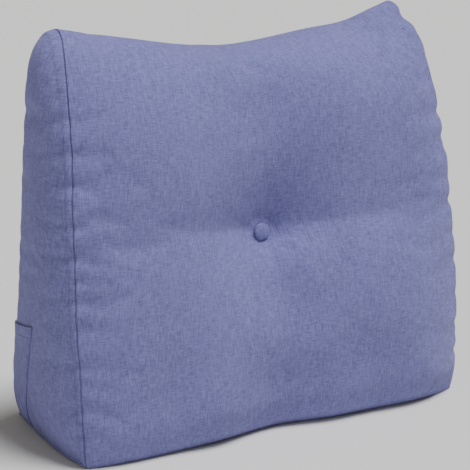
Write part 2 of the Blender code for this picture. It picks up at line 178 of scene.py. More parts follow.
@dataclass(frozen=True)
class TuftedWedge:
    """The stuffed form: where every point of the cover lies before its fine detail."""

    button_z: float = 0.255
    seat_radius: float = 0.0165
    button_shift_x: float = -0.0040
    button_shift_up: float = 0.0040
    valley_across: float = 0.0154
    across_at_button: float = 0.029
    across_fade: float = 0.097
    across_reach: float = 0.104
    level_rounding: float = 0.0050
    level_widening: float = 0.060
    level_rise: float = 0.0090
    level_left_rise: float = 0.0130
    level_left_reach: float = 0.150
    valley_down: float = 0.0311
    down_reach: float = 0.125
    down_rounding: float = 0.006
    half_width: float = 0.272
    across_taper: float = 0.6
    down_power: float = 1.37
    shallow: float = 0.27
    shallow_below: float = 0.13
    shallow_reach: float = 0.06
    foot_shallow: float = 0.22
    foot_shallow_band: tuple[float, float] = (0.0, 0.085)
    top_shallow: float = 0.42
    top_shallow_band: tuple[float, float] = (0.40, 0.485)
    pinch: float = 0.0120
    pinch_reach: float = 0.045
    pinch_shoulder: int = 8
    swell_shoulder: int = 6
    shoulder: float = 5.2
    foot_shoulder: float = 5.0
    foot_fill: float = 0.8
    top_shoulder: float = 2.0
    foot_band: tuple[float, float] = (0.02, 0.10)
    top_band: tuple[float, float] = (0.40, 0.50)
    front_band: tuple[float, float] = (9.7, 16.2)
    end_bulge_left: float = 0.0175
    end_bulge_right: float = 0.0095
    end_roll: float = 0.0035
    end_roll_reach: float = 0.010
    end_roll_foot_band: tuple[float, float] = (0.0, 0.04)
    end_shoulder: float = 2.8
    end_upright: int = 6
    end_fill: float = 0.6
    end_top_extra: float = 0.5
    end_top_band: tuple[float, float] = (0.80, 0.98)
    base_bow: float = 0.007
    bow_start: float = 0.3
    bow_growth: float = 1.2
    bow_reach: float = 0.015
    height: float = 0.513
    nip_reach_wrap: float = 0.018
    nip_reach_end: float = 0.026
    nip_widening: float = 0.25
    nip_foot_band: tuple[float, float] = (0.0, 0.03)
    back_ease: float = 0.65
    back_band: tuple[float, float] = (10.0, 16.0)
    behind_band: tuple[float, float] = (-0.01, 0.05)

    def spline(self, places: np.ndarray) -> np.ndarray:
        """Follow the sections smoothly.

        Args:
            places: Section numbers, which may fall between two sections.

        Returns:
            One row of seam_y, seam_z, half_width, mid_y and mid_z for each place.
        """
        table = np.array(SECTIONS)
        chord = np.linalg.norm(np.diff(table[:, 3:5], axis=0), axis=1)
        slope = np.diff(table, axis=0) / chord[:, None]
        tangent = np.empty_like(table)
        tangent[0], tangent[-1] = slope[0], slope[-1]
        ahead, behind = chord[1:, None], chord[:-1, None]
        tangent[1:-1] = (slope[:-1] * ahead + slope[1:] * behind) / (ahead + behind)
        k = np.clip(places.astype(int), 0, len(table) - 2)
        t = (places - k)[:, None]
        start = 2 * t ** 3 - 3 * t ** 2 + 1
        return (start * table[k] + (1 - start) * table[k + 1]
                + (t ** 3 - 2 * t ** 2 + t) * chord[k, None] * tangent[k]
                + (t ** 3 - t ** 2) * chord[k, None] * tangent[k + 1])

    def even_places(self, first: int, last: int, count: int) -> np.ndarray:
        """Divide a stretch of the wrap panel evenly along the cloth.

        Args:
            first: Section number where the stretch begins.
            last: Section number where it ends.
            count: Number of rows of faces.

        Returns:
            The count + 1 section numbers of the rows' edges.
        """
        fine = np.linspace(first, last, STEPS_EACH_SECTION * (last - first) + 1)
        rows = self.spline(fine)
        path = 0.5 * (rows[:, :2] + rows[:, 3:5])
        steps = np.linalg.norm(np.diff(path, axis=0), axis=1)
        length = np.concatenate([[0.0], np.cumsum(steps)])
        return np.interp(np.linspace(0.0, length[-1], count + 1), length, fine)

    def crown(self, u: np.ndarray, low: np.ndarray, top: np.ndarray) -> np.ndarray:
        """Shape the stuffing across the wrap panel.

        Args:
            u: Places across, from -1 to 1.
            low: Share of the foot's shape in each row.
            top: Share of the top edge's shape in each row.

        Returns:
            The share of the full stuffing, 0 at both seams.
        """
        across = np.abs(u)
        face = 1.0 - across ** self.shoulder
        foot = (1.0 - across ** self.foot_shoulder) ** self.foot_fill
        arch = 1.0 - across ** self.top_shoulder
        return (face * (1.0 - low) + foot * low) * (1.0 - top) + arch * top

    def valley_level(self, x: np.ndarray) -> np.ndarray:
        """Return the height of the level valley: it climbs a little to the left of the button."""
        climb = self.level_left_rise * ease(0.0, self.level_left_reach, -x)
        return self.button_z + self.level_rise + climb

    def valley(self, x: np.ndarray, z: np.ndarray) -> np.ndarray:
        """Sink the two soft valleys that meet at the button.

        Args:
            x: Places across.
            z: Heights.

        Returns:
            Depths in metres.
        """
        rise = z - self.button_z
        rounding = self.level_rounding + self.level_widening * np.abs(x)
        from_level = soft_abs(z - self.valley_level(x), rounding)
        from_upright = soft_abs(x, self.down_rounding)
        at_button = self.across_at_button * np.exp(-from_upright / self.across_fade)
        across = (self.valley_across + at_button) * np.exp(-from_level / self.across_reach)
        fade = np.clip(1.0 - (x / self.half_width) ** 2, 0.0, 1.0)
        across = across * fade ** self.across_taper
        shallow = 1.0 - self.shallow * bell(rise + self.shallow_below, self.shallow_reach)
        foot = 1.0 - self.foot_shallow * (1.0 - ease(*self.foot_shallow_band, z))
        top = 1.0 - self.top_shallow * ease(*self.top_shallow_band, z)
        steep = np.exp(-(from_upright / self.down_reach) ** self.down_power)
        down = self.valley_down * shallow * (foot * top) * steep
        return np.cbrt(across ** 3 + down ** 3)

    def face_depth(self, u: np.ndarray, x: np.ndarray, z: np.ndarray) -> np.ndarray:
        """Shape the face's whole relief: valleys, pinch and swells. The seams stay in place.

        Args:
            u: Places across, from -1 to 1.
            x: The same places in metres.
            z: Heights.

        Returns:
            Depths in metres.
        """
        beyond = np.maximum(np.hypot(x, z - self.button_z) - self.seat_radius, 0.0)
        pinch = self.pinch * np.exp(-beyond / self.pinch_reach)
        swell = sum(s.height * np.exp(-((x - s.x) / s.reach) ** 2 - ((z - s.z) / s.reach) ** 2)
                    for s in SWELLS)
        across = np.abs(u)
        sunk = (self.valley(x, z) + pinch) * (1.0 - across ** self.pinch_shoulder)
        return sunk - swell * (1.0 - across ** self.swell_shoulder)

    def seat(self) -> tuple[np.ndarray, np.ndarray]:
        """Find where the button sits.

        Returns:
            The place under the button's middle and the direction that it faces.
        """
        near = 0.1
        rows = self.spline(BUTTON_SECTION + np.array([-near, 0.0, near]))
        run = rows[2, 3:5] - rows[0, 3:5]
        facing = np.array([0.0, -run[1], run[0]]) / np.hypot(*run)
        place = np.array([0.0, rows[1, 3], rows[1, 4]])
        return place - facing * float(self.face_depth(0.0, 0.0, rows[1, 4])), facing

    def button_seat(self) -> tuple[np.ndarray, np.ndarray, np.ndarray, np.ndarray]:
        """Find where the button is sewn, a little off the middle of its seat.

        Returns:
            The place under it, the directions across and up its face, and the way it faces.
        """
        place, facing = self.seat()
        across = np.array([1.0, 0.0, 0.0])
        upward = np.cross(facing, across)
        place = place + self.button_shift_x * across + self.button_shift_up * upward
        return place, across, upward, facing

    def bow(self, under: np.ndarray) -> np.ndarray:
        """Return how far the base's sides bow out, at shares of the way from back to front."""
        return (self.base_bow * np.sin(np.pi * under)
                * (self.bow_start + self.bow_growth * under))

    def nip_depth(self, side: int, height: np.ndarray, distance: np.ndarray,
                  reach: float) -> np.ndarray:
        """Return the depth of one side's seam creases.

        Args:
            side: Sign of X of the side.
            height: Heights of the points.
            distance: Distances of the points from the seam.
            reach: Distance over which a crease fades.

        Returns:
            Depths in metres.
        """
        depth = np.zeros(np.broadcast(height, distance).shape)
        for nip in NIPS:
            if nip.side == side:
                centre = nip.height - nip.slant * distance
                half = nip.half + self.nip_widening * distance
                depth = depth + nip.depth * bell(height - centre, half)
        return depth * np.exp(-distance / reach)


@dataclass(frozen=True)
class Density:
    """How finely the cover is meshed."""

    columns: int
    front_rows: int
    top_rows: int
    seam_steps: tuple[float, ...]


STITCH_FROM_SEAM = 0.0067
SEWN = Density(170, 146, 44, (0.0007, 0.0016, 0.0026, 0.0038, 0.0050, 0.0060, STITCH_FROM_SEAM,
                              0.0074, 0.0088, 0.0108))
SLACK = Density(80, 70, 22, (0.006,))


class Wave(NamedTuple):
    """One wave of an uneven field: cycles per metre both ways, and where it starts."""

    first: float
    second: float
    phase: float


class Gather(NamedTuple):
    """Folds that run to the button: how strong, how many round it, and where they start."""

    strength: float
    folds: float
    phase: float


@dataclass(frozen=True)
class SewnRelief:
    """The small relief that sewing and slack give the cover."""

    groove: float = 0.0024
    lip: float = 0.0004
    lip_from_seam: float = 0.0026
    lip_width: float = 0.0018
    lip_foot_band: tuple[float, float] = (0.0, 0.03)
    fold: float = 0.0024
    fold_rounding: float = 0.0016
    fold_reach: float = 0.012
    fold_half_length: float = 0.16
    slack: float = 0.0007
    slack_waves: tuple[Wave, ...] = (Wave(3.1, 4.3, 0.4), Wave(-4.7, 5.9, 1.9),
                                     Wave(6.1, -2.2, 3.1), Wave(7.3, 8.1, 5.0))
    slack_seam_band: tuple[float, float] = (0.0, 0.05)
    slack_foot_band: tuple[float, float] = (0.01, 0.06)
    gather: float = 0.0007
    gathers: tuple[Gather, ...] = (Gather(1.0, 9.0, 0.6), Gather(0.6, 5.0, 2.2))
    gather_band: tuple[float, float] = (0.013, 0.024)
    gather_from: float = 0.02
    gather_reach: float = 0.022
    seat_band: tuple[float, float] = (0.0100, 0.0185)
    seat_depth: float = 0.05
    puff: float = 0.0013
    puff_from_middle: float = 0.0142
    puff_width: float = 0.0030
    allowance: float = 0.0009
    allowance_from_seam: float = 0.0034
    allowance_width: float = 0.0024
    needle: float = 0.0004
    needle_width: float = 0.0011
    end_slack: float = 0.0008
    end_waves: tuple[Wave, ...] = (Wave(5.2, 3.9, 0.2), Wave(-3.3, 7.1, 1.3),
                                   Wave(8.2, -5.0, 4.1))
    end_slack_band: tuple[float, float] = (0.01, 0.05)


class CoverMesh:
    """The cover as arrays: points, faces, cloth coordinates and where its seams run."""

    relief = SewnRelief()
    crowding = 0.25
    closing_cloth = 0.004
    relaxing = 12
    mitre_rounds = 3

    def __init__(self, form: TuftedWedge, density: Density, sewn: bool) -> None:
        """Lay out the cover.

        Args:
            form: The stuffed form.
            density: How finely to mesh it.
            sewn: Whether the seam's groove, its allowance and the fine creases are modelled.
        """
        self.form = form
        self.density = density
        self.sewn = sewn
        nf, nt = density.front_rows, density.top_rows
        up = form.even_places(0, TOP_START, nf)
        over = form.even_places(TOP_START, TOP_END, nt)
        down = form.even_places(TOP_END, BASE_BACK, nf)
        self.places = np.concatenate([up[:-1], over[:-1], down])
        self.over_rows = len(self.places) - 1
        self.rows = self.over_rows + nt
        self.columns = self._columns()
        self.wrap = self._wrap_points()
        self.verts = [self.wrap.reshape(-1, 3)]
        self.count = self.wrap.shape[0] * self.wrap.shape[1]
        self.faces: list[tuple[int, ...]] = []
        self.uvs: list[tuple[float, float]] = []
        self.stitch_rows: dict[int, np.ndarray] = {}
        self._wrap_faces()
        for side in Side:
            self._end_panel(side.value)
        self.points = np.vstack(self.verts)

    def _columns(self) -> np.ndarray:
        """Place the columns, with fine steps beside both seams.

        Returns:
            Places across, from -1 to 1.
        """
        steps = np.array(self.density.seam_steps) / self.form.half_width
        band = steps[-1]
        inner = self.density.columns - 2 * len(steps)
        even = np.linspace(-1.0, 1.0, inner + 1)
        turn = 2.0 * np.pi
        even = (1.0 - band) * (even - self.crowding * np.sin(turn * even) / turn)
        return np.concatenate([[-1.0], -1.0 + steps[:-1], even, 1.0 - steps[:-1][::-1], [1.0]])

    def _wrap_points(self) -> np.ndarray:
        """Lay out the wrap panel, which runs up the front, over the top, down and back under.

        Returns:
            Its points, indexed by column and row.
        """
        form = self.form
        rows = form.spline(self.places)
        under = np.linspace(0.0, 1.0, self.density.top_rows + 1)[1:-1, None]
        rows = np.vstack([rows, rows[-1] + (rows[0] - rows[-1]) * under])
        seam_y, seam_z, half, mid_y, mid_z = rows.T
        under_rows = np.full(self.rows - len(self.places), BASE_BACK + 1.0)
        places = np.concatenate([self.places, under_rows])
        low = 1.0 - ease(*form.foot_band, seam_z)
        top = ease(*form.top_band, seam_z)
        on_front = 1.0 - ease(*form.front_band, places)
        u = self.columns[:, None]
        share = form.crown(u, low[None], top[None])
        x = u * half[None]
        y = seam_y + (mid_y - seam_y) * share
        z = seam_z + (mid_z - seam_z) * share
        run_y = np.roll(y, -1, 1) - np.roll(y, 1, 1)
        run_z = np.roll(z, -1, 1) - np.roll(z, 1, 1)
        length = np.hypot(run_y, run_z)
        out_y, out_z = -run_z / length, run_y / length
        squat = low * on_front
        out_z = out_z * (1.0 - squat)
        out_y = np.where(squat > 0.0, -np.sqrt(1.0 - out_z ** 2), out_y)
        depth = form.face_depth(u, x, z) * on_front
        from_seam = half[None] * (1.0 - np.abs(u))
        for side in (-1, 1):
            nip = form.nip_depth(side, z, from_seam, form.nip_reach_wrap) * (np.sign(u) == side)
            nip = nip * (1.0 - form.back_ease * ease(*form.back_band, places))
            x = x - side * nip
            depth = depth + nip
        if self.sewn:
            depth = depth + self._wrap_detail(x, y, z, from_seam, on_front)
        points = np.stack([x, y - out_y * depth, z - out_z * depth], axis=-1)
        points[..., 2] = np.maximum(points[..., 2], 0.0)
        edge = self.over_rows
        points[:, edge + 1:] = points[:, edge, None] * (1.0 - under) + points[:, 0, None] * under
        points[:, edge + 1:, 0] += u * form.bow(under[:, 0])
        run = np.linalg.norm(np.diff(points, axis=1), axis=-1).mean(axis=0)
        self.wrap_v = np.concatenate([[0.0], np.cumsum(run)])
        self._seat(points)
        self.seam_line = {-1: points[0].copy(), 1: points[-1].copy()}
        if self.sewn:
            for column, side in ((0, -1), (-1, 1)):
                inward = np.stack([np.full(self.rows, -side), -out_y[column], -out_z[column]],
                                  axis=1)
                points[column] += self.relief.groove * inward
            points[..., 2] = np.maximum(points[..., 2], 0.0)
        return points

    def _wrap_detail(self, x: np.ndarray, y: np.ndarray, z: np.ndarray, from_seam: np.ndarray,
                     on_front: np.ndarray) -> np.ndarray:
        """Shape the wrap's fine relief: seam roll, level fold, slack, gathers at the button.

        Args:
            x: Places across in metres.
            y: Places from front to back.
            z: Heights.
            from_seam: Distances from the nearer side seam.
            on_front: Share of the front's relief at each point.

        Returns:
            Depths in metres.
        """
        fine = self.relief
        away = soft_abs(z - self.form.valley_level(x), fine.fold_rounding)
        fold = (fine.fold * np.exp(-away / fine.fold_reach) * bell(x, fine.fold_half_length)
                * on_front)
        lip = -fine.lip * bell(from_seam - fine.lip_from_seam, fine.lip_width)
        detail = lip * ease(*fine.lip_foot_band, z) + fold
        slack = fine.slack * ripple(x, z + y, fine.slack_waves)
        slack = slack * ease(*fine.slack_seam_band, from_seam) * ease(*fine.slack_foot_band, z)
        rise = z - self.form.button_z
        around = np.arctan2(rise, x)
        near = np.hypot(x, rise)
        folds = sum(g.strength * np.cos(g.folds * around + g.phase) for g in fine.gathers)
        fade = np.exp(-np.maximum(near - fine.gather_from, 0.0) / fine.gather_reach)
        gather = fine.gather * folds * (ease(*fine.gather_band, near) * fade) * on_front
        return detail + slack + gather

    def _seat(self, points: np.ndarray) -> None:
        """Level the cloth under the button and puff it up against the button's rim.

        Args:
            points: The wrap panel's points, which are moved in place.
        """
        fine = self.relief
        place, _, _, facing = self.form.button_seat()
        offset = points - place
        rise = offset @ facing
        away = np.linalg.norm(offset - rise[..., None] * facing, axis=-1)
        at_button = np.abs(rise) < fine.seat_depth
        level = (1.0 - ease(*fine.seat_band, away)) * at_button
        puff = fine.puff * bell(away - fine.puff_from_middle, fine.puff_width) * at_button
        points += facing * (puff * self.sewn - rise * level)[..., None]

    def _add(self, quad: Sequence[int], uv: Sequence[tuple[float, float]]) -> None:
        """Add one face with its cloth coordinates."""
        self.faces.append(tuple(int(q) for q in quad))
        self.uvs.extend(uv)

    def _wrap_faces(self) -> None:
        """Make the wrap's faces. Its cloth coordinates are metres across and along the strip."""
        n = self.rows
        for i in range(len(self.columns) - 1):
            for j in range(n):
                m = (j + 1) % n
                v0 = self.wrap_v[j]
                v1 = self.wrap_v[j + 1] if j + 1 < n else self.wrap_v[-1] + self.closing_cloth
                a = self.columns[i] * self.form.half_width
                b = self.columns[i + 1] * self.form.half_width
                self._add((i * n + j, (i + 1) * n + j, (i + 1) * n + m, i * n + m),
                          ((a, v0), (b, v0), (b, v1), (a, v1)))

    def seams_at(self, side: int, z: np.ndarray | float) -> tuple[np.ndarray, np.ndarray]:
        """Find an end panel's two long seams.

        Args:
            side: Sign of X of the panel.
            z: Heights.

        Returns:
            Y of the front seam and Y of the back seam at those heights.
        """
        ring = self.seam_line[side]
        tip = int(np.argmax(ring[:, 2]))
        back = ring[tip:self.over_rows + 1][::-1]
        return (np.interp(z, ring[:tip + 1, 2], ring[:tip + 1, 1]),
                np.interp(z, back[:, 2], back[:, 1]))

    def end_surface(self, side: int, y: np.ndarray, z: np.ndarray) -> np.ndarray:
        """Bulge an end panel between its seams, before the seam's own relief.

        Args:
            side: Sign of X of the panel.
            y: Places from front to back.
            z: Heights.

        Returns:
            X of the panel.
        """
        form = self.form
        y_front, y_back = self.seams_at(side, z)
        rows = form.spline(np.linspace(0, BASE_BACK, 500))
        peak = int(np.argmax(rows[:, 1]))
        half_front = np.interp(z, rows[:peak + 1, 1], rows[:peak + 1, 2])
        half_back = np.interp(z, rows[peak:, 1][::-1], rows[peak:, 2][::-1])
        share = np.clip((y - y_front) / np.maximum(y_back - y_front, 1e-5), 0.0, 1.0)
        level = np.clip(z / form.height, 0.0, 1.0)
        upright = (1.0 - np.abs(2.0 * level - 1.0) ** form.end_upright) ** form.end_fill
        upright = upright * (1.0 + form.end_top_extra * ease(*form.end_top_band, level))
        fullness = form.end_bulge_left if side < 0 else form.end_bulge_right
        bulge = fullness * upright * (1.0 - np.abs(2.0 * share - 1.0) ** form.end_shoulder)
        bow = form.bow(1.0 - share) * np.exp(-z / form.bow_reach)
        return side * ((1.0 - share) * half_front + share * half_back + bulge + bow)

    def _end_panel(self, side: int) -> None:
        """Make one end panel: loops beside the seam, then a patch in the middle.

        Args:
            side: Sign of X of the panel.
        """
        ring = self.seam_line[side]
        edge = 0 if side < 0 else len(self.columns) - 1
        n = self.rows
        flat = ring[:, 1:]
        ahead = np.roll(flat, -1, 0) - flat
        ahead /= np.linalg.norm(ahead, axis=1)[:, None]
        normal = np.stack([ahead[:, 1], -ahead[:, 0]], axis=1)
        before = np.roll(normal, 1, 0)
        mitre = (normal + before) / (1.0 + (normal * before).sum(axis=1))[:, None]
        for _ in range(self.mitre_rounds):
            smooth = (np.roll(mitre, 1, 0) + 2.0 * mitre + np.roll(mitre, -1, 0)) / 4.0
            keep = np.zeros(n, dtype=bool)
            keep[[0, 1, n - 1, self.over_rows - 1, self.over_rows, self.over_rows + 1]] = True
            mitre = np.where(keep[:, None], mitre, smooth)
        loops = [flat] + [flat + mitre * d for d in self.density.seam_steps]
        patch = self._middle_patch(loops[-1])
        sheet = np.vstack(loops[1:] + [patch[1:-1, 1:-1].reshape(-1, 2)])
        xyz = self._end_points(side, sheet, ring)
        base = self.count
        if self.sewn:
            k = self.density.seam_steps.index(STITCH_FROM_SEAM)
            self.stitch_rows[side] = base + np.arange(k * n, (k + 1) * n)
        self.verts.append(xyz)
        self.count += len(xyz)
        rings = [np.arange(n) + edge * n]
        for k in range(len(loops) - 1):
            rings.append(base + k * n + np.arange(n))
        index = np.zeros(patch.shape[:2], dtype=int)
        nf, nt = self.density.front_rows, self.density.top_rows
        last = rings[-1]
        index[:, 0] = last[:nf + 1]
        index[-1, :] = last[nf:nf + nt + 1]
        index[:, -1] = last[nf + nt:self.over_rows + 1][::-1]
        index[0, :] = np.concatenate([last[self.over_rows:], last[:1]])[::-1]
        start = base + (len(loops) - 1) * n
        index[1:-1, 1:-1] = start + np.arange((nf - 1) * (nt - 1)).reshape(nf - 1, nt - 1)
        everything = np.vstack(self.verts)

        def cloth(quad: Sequence[int]) -> list[tuple[float, float]]:
            """Return the cloth coordinates of one face, in metres along Y and Z."""
            return [(everything[v, 1] + 1.0, everything[v, 2]) for v in quad]

        for outer, inner_ring in zip(rings[:-1], rings[1:]):
            for j in range(n):
                m = (j + 1) % n
                quad = (outer[j], inner_ring[j], inner_ring[m], outer[m])
                quad = quad if side > 0 else quad[::-1]
                self._add(quad, cloth(quad))
        for a in range(nf):
            for b in range(nt):
                quad = (index[a, b], index[a, b + 1], index[a + 1, b + 1], index[a + 1, b])
                quad = quad if side > 0 else quad[::-1]
                self._add(quad, cloth(quad))

    def _middle_patch(self, ring: np.ndarray) -> np.ndarray:
        """Fill a loop with an even grid, its corners at the base and beside the top.

        Args:
            ring: (y, z) round the loop.

        Returns:
            (y, z) of the grid, indexed by row and column.
        """
        nf, nt = self.density.front_rows, self.density.top_rows
        front = ring[:nf + 1]
        top = ring[nf:nf + nt + 1]
        back = ring[nf + nt:self.over_rows + 1][::-1]
        base = np.vstack([ring[self.over_rows:], ring[:1]])[::-1]
        up = np.linspace(0.0, 1.0, nf + 1)[:, None, None]
        along = np.linspace(0.0, 1.0, nt + 1)[None, :, None]
        grid = ((1 - along) * front[:, None] + along * back[:, None]
                + (1 - up) * base[None] + up * top[None]
                - (1 - up) * (1 - along) * front[0] - (1 - up) * along * back[0]
                - up * (1 - along) * front[-1] - up * along * back[-1])
        for _ in range(self.relaxing * nt):
            grid[1:-1, 1:-1] = (grid[:-2, 1:-1] + grid[2:, 1:-1]
                                + grid[1:-1, :-2] + grid[1:-1, 2:]) / 4.0
        return grid

    def _end_points(self, side: int, flat: np.ndarray, ring: np.ndarray) -> np.ndarray:
        """Give an end panel its creases and, on a sewn cover, the seam's relief.

        Args:
            side: Sign of X of the panel.
            flat: (y, z) of its points.
            ring: The seam round it.

        Returns:
            The panel's points.
        """
        form, fine = self.form, self.relief
        y, z = flat.T
        x = self.end_surface(side, y, z)
        from_seam = np.min(np.hypot(y[:, None] - ring[None, :, 1], z[:, None] - ring[None, :, 2]),
                           axis=1)
        y_front, y_back = self.seams_at(side, z)
        behind = ease(*form.behind_band, y - 0.5 * (y_front + y_back))
        nip = form.nip_depth(side, z, from_seam, form.nip_reach_end)
        nip = nip * ease(*form.nip_foot_band, z) * (1.0 - form.back_ease * behind)
        roll = form.end_roll * (1.0 - np.exp(-from_seam / form.end_roll_reach))
        x = x + side * (roll * ease(*form.end_roll_foot_band, z) - nip)
        if self.sewn:
            allowance = fine.allowance * bell(from_seam - fine.allowance_from_seam,
                                              fine.allowance_width)
            needle = fine.needle * bell(from_seam - STITCH_FROM_SEAM, fine.needle_width)
            slack = fine.end_slack * ripple(y, z, fine.end_waves)
            slack = slack * ease(*fine.end_slack_band, from_seam)
            x = x + side * (allowance - needle + slack)
        return np.stack([x, y, np.maximum(z, 0.0)], axis=1)


def make_object(name: str, points: np.ndarray, faces: Sequence[Sequence[int]],
                uvs: Sequence[tuple[float, float]] | None = None) -> bpy.types.Object:
    """Make a smooth-shaded mesh object at the origin.

    Args:
        name: The piece's name.
        points: Vertex positions.
        faces: Vertex indices of each face.
        uvs: Cloth coordinates in metres, one for each face corner.

    Returns:
        The linked object.
    """
    mesh = bpy.data.meshes.new(name)
    mesh.from_pydata(points.tolist(), [], [tuple(int(v) for v in f) for f in faces])
    if uvs is not None:
        layer = mesh.uv_layers.new(name="cloth")
        layer.data.foreach_set("uv", np.asarray(uvs, dtype=np.float32).ravel())
    mesh.update()
    mesh.shade_smooth()
    thing = bpy.data.objects.new(name, mesh)
    bpy.context.scene.collection.objects.link(thing)
    return thing


class Surface:
    """Builds one material out of nodes."""

    def __init__(self, name: str) -> None:
        """Start the material with its plain shader.

        Args:
            name: The material's name.
        """
        self.material = bpy.data.materials.new(name)
        self.material.use_nodes = True
        self.nodes = self.material.node_tree.nodes
        self.links = self.material.node_tree.links
        self.shader = self.nodes["Principled BSDF"]

    def fill(self, node: bpy.types.Node, values: dict[str | int, object]) -> None:
        """Set or link a node's inputs.

        Args:
            node: The node.
            values: A value, or the output to link, for each input's name or number.
        """
        for key, value in values.items():
            if isinstance(value, bpy.types.NodeSocket):
                self.links.new(value, node.inputs[key])
            else:
                node.inputs[key].default_value = value

    def add(self, kind: str, values: dict[str | int, object]) -> bpy.types.Node:
        """Add a node.

        Args:
            kind: The node's type.
            values: A value, or the output to link, for each input's name or number.

        Returns:
            The node.
        """
        node = self.nodes.new(kind)
        self.fill(node, values)
        return node

    def maths(self, kind: str, first: object, second: object = 0.0) -> bpy.types.NodeSocket:
        """Work out one sum.

        Args:
            kind: The operation.
            first: A number or an output.
            second: A number or an output.

        Returns:
            The result.
        """
        node = self.add("ShaderNodeMath", {0: first, 1: second})
        node.operation = kind
        return node.outputs[0]

    def paint(self, share: bpy.types.NodeSocket, colours: Sequence[tuple[float, float, float]],
              stops: tuple[float, float]) -> None:
        """Colour the material by a share.

        Args:
            share: What chooses the colour.
            colours: The first and the last colour.
            stops: Shares at which the first colour ends and the last one begins.
        """
        ramp = self.add("ShaderNodeValToRGB", {"Fac": share})
        for element, stop, colour in zip(ramp.color_ramp.elements, stops, colours):
            element.position = stop
            element.color = (*colour, 1.0)
        self.fill(self.shader, {"Base Color": ramp.outputs["Color"]})

    def emboss(self, height: bpy.types.NodeSocket, strength: float, distance: float) -> None:
        """Give the material a fine relief.

        Args:
            height: What raises it.
            strength: How strongly it shows, from 0 to 1.
            distance: Height of the relief in metres.
        """
        bump = self.add("ShaderNodeBump", {"Strength": strength, "Distance": distance,
                                           "Height": height})
        self.fill(self.shader, {"Normal": bump.outputs["Normal"]})


@dataclass(frozen=True)
class LinenFinish:
    """Heathered linen-look plain weave: two yarn colours, slubs both ways, a fine matte weave."""

    name: str
    light: tuple[float, float, float]
    dark: tuple[float, float, float]
    yarn: float = 0.0009
    slub_length: float = 0.012
    slub_width: float = 0.0009
    slub_detail: float = 3.0
    mottle_size: float = 0.004
    mottle: float = 0.20
    cloud_size: float = 0.09
    cloud: float = 0.10
    broad_detail: float = 2.0
    raggedness: float = 0.6
    weave_shade: float = 0.02
    weave_height: float = 0.22
    stops: tuple[float, float] = (0.38, 0.62)
    relief: float = 0.35
    relief_height: float = 0.0006
    roughness: float = 0.95
    gloss: float = 0.15
    nap: float = 0.12
    nap_roughness: float = 0.6

    def build(self) -> bpy.types.Material:
        """Make the cloth's material.

        Returns:
            The node material.
        """
        cloth = Surface(self.name)
        uv = cloth.add("ShaderNodeUVMap", {})
        uv.uv_map = "cloth"
        thread_map = uv.outputs["UV"]

        def spots(wide: float, long: float, detail: float, seed: float) -> bpy.types.NodeSocket:
            """Scatter uneven spots over the cloth.

            Args:
                wide: Size of a spot across the cloth, in metres.
                long: Size of a spot along the cloth, in metres.
                detail: How many finer layers they have.
                seed: Where the pattern starts.

            Returns:
                Values between 0 and 1.
            """
            place = cloth.add("ShaderNodeMapping", {
                "Scale": (1.0 / wide, 1.0 / long, 1.0), "Location": (seed, seed * 1.7, seed),
                "Vector": thread_map})
            return cloth.add("ShaderNodeTexNoise", {
                "Scale": 1.0, "Detail": detail, "Roughness": self.raggedness,
                "Vector": place.outputs["Vector"]}).outputs["Fac"]

        across = spots(self.slub_length, self.slub_width, self.slub_detail, 3.1)
        along = spots(self.slub_width, self.slub_length, self.slub_detail, 7.7)
        mottle = spots(self.mottle_size, self.mottle_size, self.broad_detail, 1.3)
        cloud = spots(self.cloud_size, self.cloud_size, self.broad_detail, 5.9)
        split = cloth.add("ShaderNodeSeparateXYZ", {"Vector": thread_map})
        turn = 2.0 * math.pi / (2.0 * self.yarn)
        warp, weft = (cloth.maths("SINE", cloth.maths("MULTIPLY", split.outputs[axis], turn))
                      for axis in "XY")
        weave = cloth.maths("MULTIPLY", warp, weft)
        slubs = cloth.maths("ADD", cloth.maths("MULTIPLY", across, 0.5),
                            cloth.maths("MULTIPLY", along, 0.5))
        shade = slubs
        for field, share in ((mottle, self.mottle), (cloud, self.cloud)):
            swing = cloth.maths("MULTIPLY", cloth.maths("SUBTRACT", field, 0.5), share)
            shade = cloth.maths("ADD", shade, swing)
        shade = cloth.maths("ADD", shade, cloth.maths("MULTIPLY", weave, self.weave_shade))
        cloth.paint(shade, (self.dark, self.light), self.stops)
        height = cloth.maths("ADD", cloth.maths("MULTIPLY", weave, self.weave_height), slubs)
        cloth.emboss(height, self.relief, self.relief_height)
        cloth.fill(cloth.shader, {
            "Roughness": self.roughness, "Specular IOR Level": self.gloss,
            "Sheen Weight": self.nap, "Sheen Roughness": self.nap_roughness})
        return cloth.material


@dataclass(frozen=True)
class ThreadFinish:
    """Matt spun thread a little deeper than the cloth."""

    name: str
    light: tuple[float, float, float]
    dark: tuple[float, float, float]
    twist: float = 0.0006
    detail: float = 2.0
    stops: tuple[float, float] = (0.40, 0.62)
    relief: float = 0.5
    relief_height: float = 0.0003
    roughness: float = 0.85
    gloss: float = 0.2

    def build(self) -> bpy.types.Material:
        """Make the thread's material.

        Returns:
            The node material.
        """
        thread = Surface(self.name)
        place = thread.add("ShaderNodeTexCoord", {})
        fibres = thread.add("ShaderNodeTexNoise", {
            "Scale": 1.0 / self.twist, "Detail": self.detail, "Vector": place.outputs["Object"]})
        thread.paint(fibres.outputs["Fac"], (self.dark, self.light), self.stops)
        thread.emboss(fibres.outputs["Fac"], self.relief, self.relief_height)
        thread.fill(thread.shader, {"Roughness": self.roughness, "Specular IOR Level": self.gloss})
        return thread.material


@dataclass(frozen=True)
class StitchSize:
    """One machine stitch and how far apart they sit."""

    pitch: float = 0.0042
    length: float = 0.0032
    thickness: float = 0.00055


